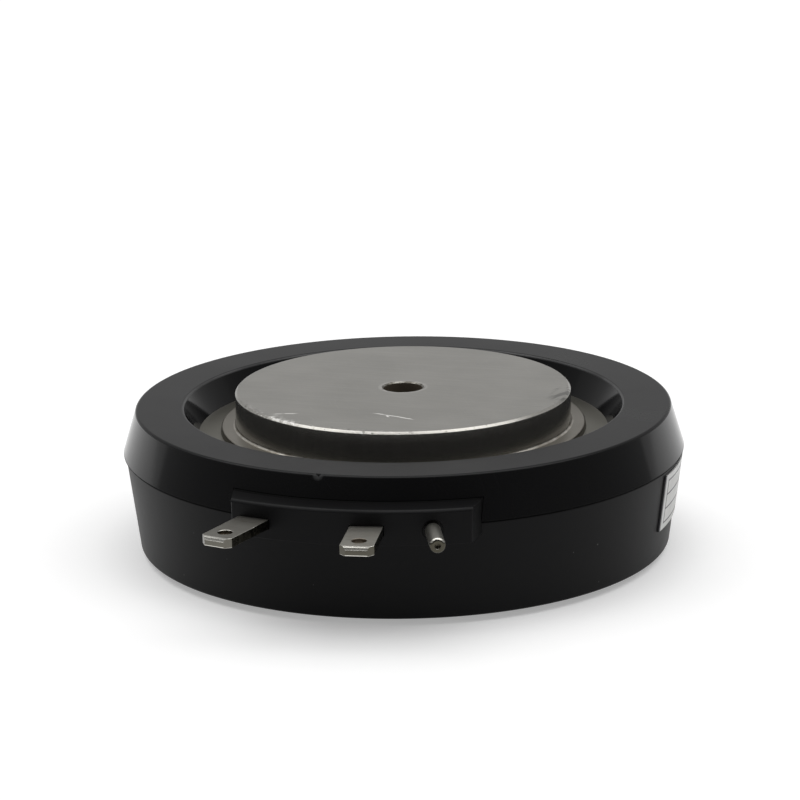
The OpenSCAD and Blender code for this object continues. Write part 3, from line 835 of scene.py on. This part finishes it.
def stamped_tab(name, bearing, lean, length, tab_shade_share, end_shade, hole_polish):
    """A tab: its plan is drawn, extruded to the sheet's thickness, bevelled at its tip and pierced."""
    half_w = tab_w / 2
    heel_r = block_r + half_w * sin(abs(lean)) + terminal_fit
    mitre = -tan(lean / 2) * half_w

    def tip(distance, side):
        return (heel_r + cos(lean) * distance - sin(lean) * side, sin(lean) * distance + cos(lean) * side)

    def spot(out, side):
        turn = Matrix.Rotation(bearing, 3, "Z")
        return turn @ Vector((side, -out, 0)) + Vector((0, 0, terminal_z - tab_t / 2))

    plan = [
        (tab_root_r, -half_w),
        (heel_r - mitre, -half_w),
        tip(length - tab_corner, -half_w),
        tip(length, tab_corner - half_w),
        tip(length, half_w - tab_corner),
        tip(length - tab_corner, half_w),
        (heel_r + mitre, half_w),
        (tab_root_r, half_w),
    ]
    tab = draw_outline(name, [(out, side, 0) for out, side in plan], spot)
    bpy.ops.mesh.select_all(action="SELECT")
    bpy.ops.mesh.edge_face_add()
    bpy.ops.mesh.extrude_region_move(TRANSFORM_OT_translate={"value": (0, 0, tab_t)})
    bpy.ops.mesh.select_all(action="SELECT")
    bpy.ops.mesh.normals_make_consistent(inside=False)
    bpy.ops.mesh.select_mode(type="EDGE")
    tip_middle = spot(*tip(length, 0))
    outward = (tip_middle - spot(*tip(0, 0))).normalized()
    for above, size in ((True, tab_bevel), (False, tab_bevel / 3)):
        pick(tab, "edges", lambda e: all((v.co - tip_middle).dot(outward) > -near_gap
                                         and (v.co.z > terminal_z) == above for v in e.verts))
        bpy.ops.mesh.bevel(offset=size, segments=tab_bevel_steps)
    bpy.ops.object.mode_set(mode="OBJECT")
    bevel_edges(tab, tab_burr, lambda e: e.calc_face_angle(0) > sharp_edge and is_level(e)
                and min(v.co.xy.length for v in e.verts) > block_r - overcut)
    hole = spot(*tip(length - tab_hole_inset, 0))
    combine(tab, cutting_bar(hole, (0, 0, 0), tab_hole_r, tab_cutter_h))
    combine(tab, cutting_bar(
        (0, 0, terminal_z), (0, 0, 0), terminal_end_r, tab_cutter_h, sides=terminal_end_sides))
    bevel_edges(tab, hole_flare, lambda e: is_level(e) and all(
        abs((v.co - hole).xy.length - tab_hole_r) < near_gap for v in e.verts))
    smooth_edges(tab)

    def in_hole(place):
        return (place - hole).xy.length < tab_hole_r + hole_flare

    def sheared_share(normal, place):
        if abs(normal.z) > wall_facing or in_hole(place):
            return 0.0
        return end_shade if normal.dot(outward) > end_facing else 1.0

    def polished_share(normal, place):
        if abs(normal.z) > flat_facing:
            return 0.0
        return hole_polish if in_hole(place) else 1.0

    def pierced_share(normal, place):
        if abs(normal.z) > flat_facing or not in_hole(place):
            return 0.0
        return 1.0 if abs(normal.z) < wall_facing else 1.0 - hole_polish

    mark_faces(tab, "sheared_and_shaded", sheared_share)
    mark_faces(tab, "polished", polished_share)
    mark_faces(tab, "pierced", pierced_share)
    # Painted shade: each terminal's tin is darkened by its own share.
    mark_faces(tab, "painted_tab_shade", lambda normal, place: tab_shade_share)
    return tab


auxiliary_tab = stamped_tab("auxiliary_tab", cathode_tab_bearing, cathode_tab_lean, cathode_tab_l,
                            tab_shade_share=0.42, end_shade=0.88, hole_polish=0.85)
gate_tab = stamped_tab("gate_tab_blade", gate_tab_bearing, gate_tab_lean, gate_tab_l,
                       tab_shade_share=0.0, end_shade=0.97, hole_polish=0.0)
pin_tip_r = block_r + pin_l
pin_axis = at_bearing(pin_bearing, 1, 0)
pin_steps = 64
gate_pin = draw_outline("gate_pin", [
    (terminal_end_r, 0, 0),
    (terminal_end_r, pin_r, 0),
    (pin_collar_root_r, pin_r, 0),
    (pin_collar_root_r, pin_collar_r, 0),
    (block_r, pin_collar_r, 0),
    (block_r, pin_r, 0),
    (pin_tip_r - pin_edge, pin_r, pin_round),
    (pin_tip_r, pin_r - pin_edge, pin_round),
    (pin_tip_r, dimple_r, edge_r),
    (pin_tip_r - dimple_depth, dimple_r, 0),
    (pin_tip_r - dimple_depth, 0, 0),
], lambda out, up: at_bearing(pin_bearing, out, terminal_z + up), closed=False)
spin_outline(gate_pin, axis=pin_axis, centre=(0, 0, terminal_z), steps=pin_steps)
smooth_edges(gate_pin)
pin_end_facing = 0.8
pin_tip_facing = 0.2
pin_shade_limit = 0.35
pin_end_polish = 0.9
pin_side_polish = 0.3
pin_painted_shade = 0.25


# The pin's cut end face takes the dark sheared colour, and the lower part of its rounded tip takes it as
# painted shade.
def pin_sheared_and_shaded(normal, place):
    ahead = normal.dot(pin_axis)
    return ahead > pin_end_facing or (ahead > pin_tip_facing and normal.z < pin_shade_limit)


def pin_polished(normal, place):
    return pin_end_polish if normal.dot(pin_axis) > pin_tip_facing else pin_side_polish


mark_faces(gate_pin, "sheared_and_shaded", pin_sheared_and_shaded)
mark_faces(gate_pin, "polished", pin_polished)
mark_faces(gate_pin, "painted_tab_shade", lambda normal, place: pin_painted_shade)

tin_bright = (0.54, 0.525, 0.475, 1)
tin_dull = (0.40, 0.385, 0.345, 1)
# Painted shade for the tin, laid on each terminal by its own share:
tin_painted_shade = (0.02, 0.018, 0.015, 1)
tin_worn = (0.26, 0.21, 0.14, 1)
tin_burnished = (0.80, 0.785, 0.73, 1)
# The next colour is cut brass on the terminals' ends, and painted shade on the pin's lower tip.
sheared_brass_and_shade = (0.07, 0.065, 0.05, 1)
pierced_brass = (0.16, 0.135, 0.105, 1)
# The next colour is painted shade at the pin's root.
root_painted_shade = (0.008, 0.008, 0.008, 1)
tin_roughness = (0.34, 0.48)
edge_roughness = (0.18, 0.28)
wear_strength = 0.5
polish_strength = 0.6
root_shade_limit_r = block_r + 0.02 * mm
rolled_depth = 0.002 * mm
tinned_terminal, tree, shader, position = new_finish("tinned_terminal")
sheared_and_shaded, polished, painted_tab_shade, pierced = [
    add_node(tree, "ShaderNodeAttribute", attribute_name=name).outputs["Fac"]
    for name in ("sheared_and_shaded", "polished", "painted_tab_shade", "pierced")]
cloud = grain(tree, position, size=1.2 * mm, detail=4)
fine = grain(tree, position, size=0.12 * mm, detail=3)
rolled = place_group(tree, hairlines, position=position, turn=0.2, length=3 * mm, width=0.05 * mm, share=0.2)
rubbed_and_highlight = product(tree, spots(tree, position, size=0.6 * mm, detail=3, start=0.62, end=0.8), wear_strength)
tone = blend_colours(tree, band(tree, cloud, 0.3, 0.7), tin_bright, tin_dull)
tone = blend_colours(tree, rubbed_and_highlight, tone, tin_worn)
# Painted shade: the tin darkened by each terminal's own share.
tone = blend_colours(tree, painted_tab_shade, tone, tin_painted_shade)
tone = blend_colours(tree, product(tree, polished, polish_strength), tone, tin_burnished)
tone = blend_colours(tree, sheared_and_shaded, tone, sheared_brass_and_shade)
tone = blend_colours(tree, pierced, tone, pierced_brass)
# Painted shade: the collar's face and the pin's root at the block are painted near black.
along_pin = vector_measure(tree, "DOT_PRODUCT", position, pin_axis)
off_root = vector_measure(tree, "DISTANCE", position, at_bearing(pin_bearing, block_r, terminal_z))
at_root_shade = product(tree, math_node(tree, "LESS_THAN", off_root, 2 * pin_collar_r),
                  math_node(tree, "LESS_THAN", along_pin, root_shade_limit_r))
tree.links.new(blend_colours(tree, at_root_shade, tone, root_painted_shade), shader.inputs["Base Color"])
sheet_dullness = blend_values(tree, cloud, *tin_roughness)
edge_dullness = blend_values(tree, cloud, *edge_roughness)
tree.links.new(blend_values(tree, polished, sheet_dullness, edge_dullness), shader.inputs["Roughness"])
raise_surface(tree, shader, math_node(tree, "ADD", fine, rolled[0]), rolled_depth)
shader.inputs["Metallic"].default_value = 1.0
dress(tinned_terminal, "gate_link_strip")
finish_piece(auxiliary_tab, tinned_terminal, "auxiliary_cathode_tab")
finish_piece(gate_tab, tinned_terminal, "gate_tab")
finish_piece(gate_pin, tinned_terminal, "round_gate_pin")

# Upper housing ring
# The upper half of the housing, moulded in the same plastic: a flat land, a conical wall inside and outside,
# and a lip over the cup. It drops over the spigot and the block, clamps the flange rim and is glued. Its rim
# has one nick.
seam_r = 25 * mm
land_r = 23.8 * mm
socket_r = spigot_r + joint_gap
clamp_z = cathode_flange_z + flange_t
window_top_z = block_top_z + joint_gap
nick_bearing = radians(-7.2)
nick_w = 0.75 * mm
upper_ring = turned("housing_ring", [
    (socket_r, seam_z, 0),
    (seam_r, seam_z, mould_r / 6),
    (land_r, land_z, mould_r),
    (recess_mouth_r, land_z, mould_r),
    (recess_foot_r, clamp_z, 0),
    (socket_r, clamp_z, 0),
])
window = block_sector("block_window", [
    (spigot_r, seam_z - overcut, 0),
    (outside_r, seam_z - overcut, 0),
    (outside_r, window_top_z, 0),
    (spigot_r, window_top_z, 0),
])
within_block(window, joint_gap)
combine(upper_ring, window)
nick_place = at_bearing(nick_bearing, land_r + nick_w / 4, land_z)
combine(upper_ring, cutting_box(nick_place, (0, pi / 4, nick_bearing), (nick_w / 2, nick_w, nick_w / 2)))
smooth_edges(upper_ring)
# The next colour is a painted highlight: a pale line along the recess's mouth. The band further down is
# painted shadow on the lip's lower edge.
plastic_highlight_grey = (0.17, 0.17, 0.172, 1)
mouth_highlight_roughness = 0.4
broken_roughness = 0.7
ring_seam_shade_band = (seam_z + 0.11 * mm, seam_z + 0.07 * mm)
nick_band = (0.75 * nick_w, 0.45 * nick_w)
mouth_line_r = recess_mouth_r - 0.02 * mm
mouth_line_band = (0.11 * mm, 0.05 * mm)
mouth_line_rise = (land_z - 0.5 * mm, land_z - 0.4 * mm)
mouth_line_strength = (0.15, 0.55)


def ring_wear_and_painted_light(tree, position, about):
    """The broken skin in the nick, a painted highlight along the recess's mouth, and painted shadow along the
    lip's lower edge at the seam.
    """
    # Painted shadow: a dark, rough band on the lip's lower edge just above the seam.
    seam_shade = band(tree, about["Height"], *ring_seam_shade_band)
    in_nick = band(tree, vector_measure(tree, "DISTANCE", position, nick_place), *nick_band)
    # Painted highlight: a pale line along the recess's mouth, patchy in strength.
    at_mouth = band(tree, offset(tree, about["Radius"], mouth_line_r), *mouth_line_band)
    near_top = band(tree, about["Height"], *mouth_line_rise)
    patches = spots(tree, position, size=6 * mm, detail=2, start=0.3, end=0.7)
    rubbed_and_highlight = blend_values(tree, patches, *mouth_line_strength)
    return [
        (product(tree, at_mouth, near_top, rubbed_and_highlight), plastic_highlight_grey, mouth_highlight_roughness),
        (in_nick, plastic_broken_and_highlight, broken_roughness),
        (seam_shade, seam_shade_black, seam_shade_roughness),
    ]


housing_plastic = moulded_plastic(
    "housing_plastic", wall_roughness=0.05, land_roughness=0.24, gloss=0.16, wear_and_light=ring_wear_and_painted_light)
finish_piece(upper_ring, housing_plastic, "upper_housing_ring")

# Rating label
# A white film sticker, cut from a roll and pressed by hand on the cone of the cup, right of the terminals.
# It is darker along its edge towards the terminals, and an empty ruled frame with three rows is printed on
# it.
label_low, label_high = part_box("rating_label")
label_bearing = radians(75.5)
label_l = 28 * mm
label_t = 0.15 * mm
label_edge = 0.03 * mm
label_steps = 96
glue_t = 0.01 * mm
label_top_z = label_high.z
label_foot_z = label_low.z
cup_slope = (cup_top_r - cup_foot_r) / (seam_z - cup_foot_z)
label_top_r = cup_top_r - (seam_z - label_top_z) * cup_slope + glue_t
label_foot_r = cup_top_r - (seam_z - label_foot_z) * cup_slope + glue_t
label_sweep = label_l / label_top_r
label = draw_outline("label_sticker", [
    (label_foot_r, label_foot_z, 0),
    (label_foot_r + label_t, label_foot_z, label_edge),
    (label_top_r + label_t, label_top_z, label_edge),
    (label_top_r, label_top_z, 0),
], lambda x, z: at_bearing(label_bearing + label_sweep, x, z))
spin_outline(label, sweep=label_sweep, steps=label_steps)
smooth_edges(label)
label_white = (0.70, 0.70, 0.69, 1)
label_soiled = (0.60, 0.595, 0.58, 1)
label_dark = (0.035, 0.035, 0.038, 1)
half_l = label_l / 2
half_h = (label_top_z - label_foot_z) / 2
frame_l = half_l - 0.95 * mm
frame_h = half_h - 0.6 * mm
row_h = frame_h / 3
edge_band = (0.3 * mm, 0.24 * mm)
line_band = (0.09 * mm, 0.05 * mm)
film_roughness = (0.32, 0.5)
fibre_depth = 0.003 * mm
label_paper, tree, shader, position = new_finish("label_paper")
about = place_group(tree, polar, position=position)
cloud = grain(tree, position, size=2.5 * mm, detail=4)
fibres = grain(tree, position, size=0.07 * mm)
from_edge = product(tree, less(tree, about["Bearing"], label_bearing), label_top_r)
from_middle = offset(tree, from_edge, half_l)
from_mid_line = offset(tree, about["Height"], label_foot_z + half_h)


def ruled(distance, place):
    """A printed line at a distance."""
    return band(tree, offset(tree, distance, place), *line_band)


# A darker band along the label's edge towards the terminals.
dark_edge = band(tree, from_edge, *edge_band)
rows = largest(tree, ruled(from_mid_line, frame_h), ruled(from_mid_line, row_h))
ruling = largest(tree, ruled(from_middle, frame_l), rows)
in_frame = product(tree, math_node(tree, "LESS_THAN", from_middle, frame_l + line_band[0]),
                   math_node(tree, "LESS_THAN", from_mid_line, frame_h + line_band[0]))
dark_marks = largest(tree, dark_edge, product(tree, ruling, in_frame))
paper = blend_colours(tree, band(tree, cloud, 0.35, 0.75), label_white, label_soiled)
tree.links.new(blend_colours(tree, dark_marks, paper, label_dark), shader.inputs["Base Color"])
tree.links.new(blend_values(tree, cloud, *film_roughness), shader.inputs["Roughness"])
raise_surface(tree, shader, fibres, fibre_depth)
finish_piece(label, label_paper, "rating_label")

# Studio
# A pale floor at the lower contact face, a large soft lamp overhead and a plain surround that is brighter
# behind the object than in front, as in a small photo tent that is open towards the camera.
floor_size = 6.0
floor_white = (0.80, 0.80, 0.80, 1)
floor_roughness = 0.9
floor_lift = 0.34
floor_gap = 0.02 * mm
light_white = (1, 1, 1, 1)
bpy.ops.object.select_all(action="DESELECT")
bpy.ops.mesh.primitive_plane_add(size=floor_size, location=(0, 0, -floor_gap))
floor = bpy.context.object
floor.name = floor.data.name = "floor"
floor_paper = bpy.data.materials.new("floor_paper")
floor_paper.use_nodes = True
tree = floor_paper.node_tree
shader = tree.nodes["Principled BSDF"]
shader.inputs["Base Color"].default_value = floor_white
shader.inputs["Roughness"].default_value = floor_roughness
shader.inputs["Specular IOR Level"].default_value = 0.0
ray = tree.nodes.new("ShaderNodeLightPath").outputs
seen = largest(tree, ray["Is Camera Ray"], ray["Is Glossy Ray"], ray["Is Transmission Ray"])
shader.inputs["Emission Color"].default_value = light_white
tree.links.new(product(tree, seen, floor_lift), shader.inputs["Emission Strength"])
floor.data.materials.append(floor_paper)

scene = bpy.context.scene
scene.view_settings.view_transform = "Standard"
world = bpy.data.worlds.new("photo_tent")
scene.world = world
world.use_nodes = True
tree = world.node_tree
camera_bearing = radians(10.2)
rear_light = 0.45
horizon_light = 0.25
horizon_h = 0.16
side_light = 0.36
front_light = 0.13
tent_half_angle = radians(64)
tent_edge = 0.015
direction = tree.nodes.new("ShaderNodeTexCoord").outputs["Generated"]
turned_back = add_node(tree, "ShaderNodeVectorRotate", {"Vector": direction, "Angle": -camera_bearing},
                       rotation_type="Z_AXIS").outputs[0]
axes = add_node(tree, "ShaderNodeSeparateXYZ", {0: turned_back}).outputs
azimuth = math_node(tree, "ABSOLUTE", math_node(tree, "ARCTAN2", axes[0], axes[1]))
behind = band(tree, azimuth, tent_half_angle + tent_edge, tent_half_angle - tent_edge)
glow = product(tree, band(tree, axes[2], horizon_h, 0.0), horizon_light)
rear = math_node(tree, "ADD", glow, rear_light)
ahead = blend_values(tree, band(tree, azimuth, pi, tent_half_angle), front_light, side_light)
background = tree.nodes["Background"].inputs
background["Color"].default_value = light_white
tree.links.new(blend_values(tree, behind, ahead, rear), background["Strength"])

lamp_width = 2.6
lamp_depth = 1.0
lamp_place = (0, 0.05, 1.2)
lamp_power = 15.5
lamp = bpy.data.objects.new("overhead_softbox", bpy.data.lights.new("overhead_softbox", "AREA"))
lamp.data.shape = "RECTANGLE"
lamp.data.size = lamp_width
lamp.data.size_y = lamp_depth
lamp.data.energy = lamp_power
lamp.location = lamp_place
scene.collection.objects.link(lamp)

# Camera
# The photograph's viewpoint: 15 degrees above the seam plane and 10 degrees to the right of the terminal
# block's middle.
camera_distance = 275 * mm
camera_elevation = radians(15.186)
camera_roll = radians(-0.951)
camera_lens = 138.15
camera_sensor = 36
nearest_view = 0.01
aim_right = -0.275 * mm
aim_up = 3.7975 * mm
camera = bpy.data.objects.new("camera", bpy.data.cameras.new("camera"))
camera.data.lens = camera_lens
camera.data.sensor_width = camera_sensor
camera.data.clip_start = nearest_view
turn = Matrix.Rotation(camera_bearing, 4, "Z") @ Matrix.Rotation(pi / 2 - camera_elevation, 4, "X")
camera.matrix_world = (Matrix.Translation((0, 0, seam_z)) @ turn
                       @ Matrix.Translation((aim_right, aim_up, camera_distance))
                       @ Matrix.Rotation(camera_roll, 4, "Z"))
scene.collection.objects.link(camera)
scene.camera = camera
